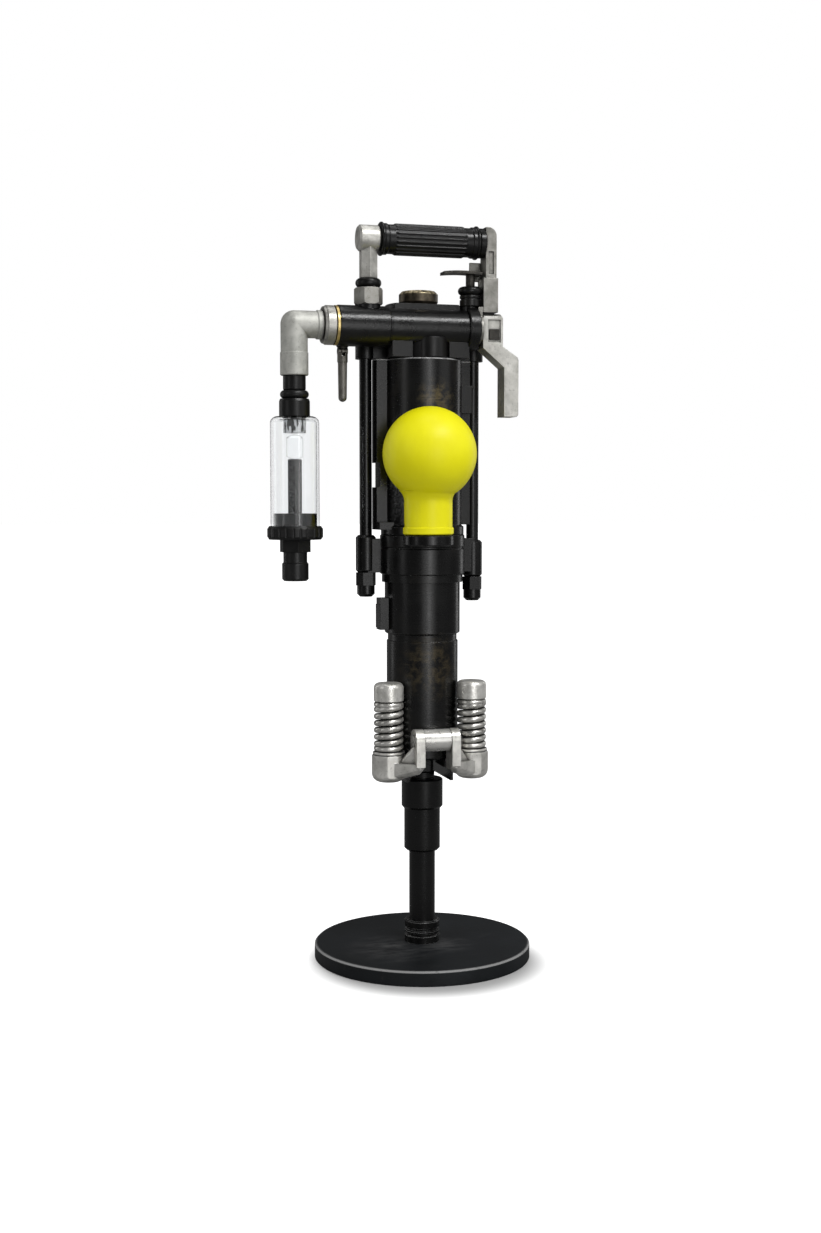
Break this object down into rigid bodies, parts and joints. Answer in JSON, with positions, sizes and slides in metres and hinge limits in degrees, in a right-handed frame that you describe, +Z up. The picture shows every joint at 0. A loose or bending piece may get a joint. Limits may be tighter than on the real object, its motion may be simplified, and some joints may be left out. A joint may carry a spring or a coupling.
{
  "type": "rock drill",
  "caption": "Hand held pneumatic rock drill standing on its steel in a round foot plate, with grip, throttle, in-line oiler and spring retainer.",
  "frame": {"origin": "centre of the foot plate's underside, where the part stands", "axes": "+Z up along the steel and the cylinder, -Y the front with the yellow silencer, +X along the throttle bar to the throttle lever"},
  "size_m": [0.29, 0.235, 0.786],
  "materials": {
    "black_paint": "satin black paint, worn on the edges",
    "plate_black": "matte black with scuffs and a bare rim",
    "black_steel": "blackened turned steel",
    "silver_cast": "satin plated casting",
    "spring_steel": "plated spring wire",
    "bright_steel": "turned satin steel",
    "blasted": "bead blasted grey",
    "yellow": "smooth yellow polyurethane",
    "rubber_black": "moulded black rubber",
    "bronze": "bearing bronze",
    "plug_bronze": "dark bronze, worn bright on the rim",
    "gasket": "thin brass",
    "inner_steel": "ground steel",
    "black_plastic": "black nylon",
    "clear": "clear polycarbonate",
    "dome_clear": "clear dome",
    "sinter": "grainy sintered filter"
  },
  "bodies": {
    "foot": {"foot_plate": "plate_black", "foot_socket": "black_steel", "drill_steel": "black_steel", "lower_sleeve": "black_steel", "upper_sleeve": "black_steel"},
    "chuck": {"chuck": "inner_steel", "chuck_nut": "bronze"},
    "piston": {"piston": "inner_steel", "rifle_nut": "bronze"},
    "rifle_bar": {"rifle_bar": "inner_steel", "pawls": "inner_steel"},
    "retainer": {"retainer_arms": "silver_cast", "retainer_fork": "black_steel", "retainer_bolts": "bright_steel", "retainer_caps": "silver_cast", "retainer_pin": "bright_steel", "retainer_spacer": "bright_steel", "retainer_springs": "spring_steel"},
    "throttle": {"throttle_spindle": "bright_steel", "throttle_lever": "silver_cast", "throttle_bolt": "inner_steel"},
    "trigger": {"thumb_trigger": "black_steel", "trigger_spring": "spring_steel"},
    "water_lever": {"water_lever": "blasted"},
    "inlet": {"swivel_nut": "silver_cast", "elbow": "blasted", "oiler_head": "black_plastic", "oiler_seal": "rubber_black", "oiler_bowl": "clear", "sight_dome": "dome_clear", "oiler_wick": "sinter", "oiler_ring_nut": "black_plastic", "oiler_tail": "black_plastic"},
    "drill": {"chuck_bushing": "bronze", "front_head": "black_paint", "spring_seats": "silver_cast", "cylinder": "black_paint", "liner": "inner_steel", "stem_guide": "bronze", "valve_block": "inner_steel", "ratchet_ring": "inner_steel", "ratchet_housing": "black_paint", "silencer": "yellow", "side_rods": "black_steel", "side_rod_nuts": "black_steel", "back_head": "black_paint", "top_plug": "plug_bronze", "inlet_sleeve": "black_paint", "inlet_gasket": "gasket", "throttle_cap": "black_paint", "water_valve": "blasted", "post_nut": "silver_cast", "post_ring": "rubber_black", "left_post": "silver_cast", "grip_bolt": "bright_steel", "grip": "rubber_black", "grip_washer": "bright_steel", "right_bracket": "silver_cast", "trigger_bushing": "black_steel", "trigger_boot": "rubber_black"}
  },
  "joints": [
    {"name": "steel_float", "type": "slide", "parent": "foot", "child": "chuck", "axis": [0, 0, 1], "range_m": [0, 0.005]},
    {"name": "chuck_spin", "type": "hinge", "parent": "chuck", "child": "drill", "pos_m": [0, 0, 0], "axis": [0, 0, 1], "continuous": true},
    {"name": "piston_slide", "type": "slide", "parent": "chuck", "child": "piston", "axis": [0, 0, 1], "range_m": [0, 0.045]},
    {"name": "rifle_turn", "type": "hinge", "parent": "drill", "child": "rifle_bar", "pos_m": [0, 0, 0], "axis": [0, 0, 1], "range_deg": [-1, 24]},
    {"name": "retainer_slide", "type": "slide", "parent": "drill", "child": "retainer", "axis": [0, 0, -1], "range_m": [0, 0.008], "stiffness_N_per_m": 20000, "springref_m": -0.003, "deforming": ["retainer_springs"]},
    {"name": "throttle_turn", "type": "hinge", "parent": "drill", "child": "throttle", "pos_m": [0.0581, -0.02, 0.678], "axis": [-1, 0, 0], "range_deg": [0, 90]},
    {"name": "trigger_press", "type": "slide", "parent": "drill", "child": "trigger", "axis": [0, 0, -1], "range_m": [0, 0.006], "stiffness_N_per_m": 1500, "springref_m": -0.002, "deforming": ["trigger_spring"]},
    {"name": "water_turn", "type": "hinge", "parent": "drill", "child": "water_lever", "pos_m": [-0.0905, -0.012, 0.6523], "axis": [-1, 0, 0], "range_deg": [0, 60]},
    {"name": "inlet_swivel", "type": "hinge", "parent": "drill", "child": "inlet", "pos_m": [-0.1435, -0.02, 0.678], "axis": [1, 0, 0], "continuous": true}
  ],
  "couplings": [
    {"joint": "rifle_turn", "follows": "piston_slide", "rad_per_m": 8}
  ]
}
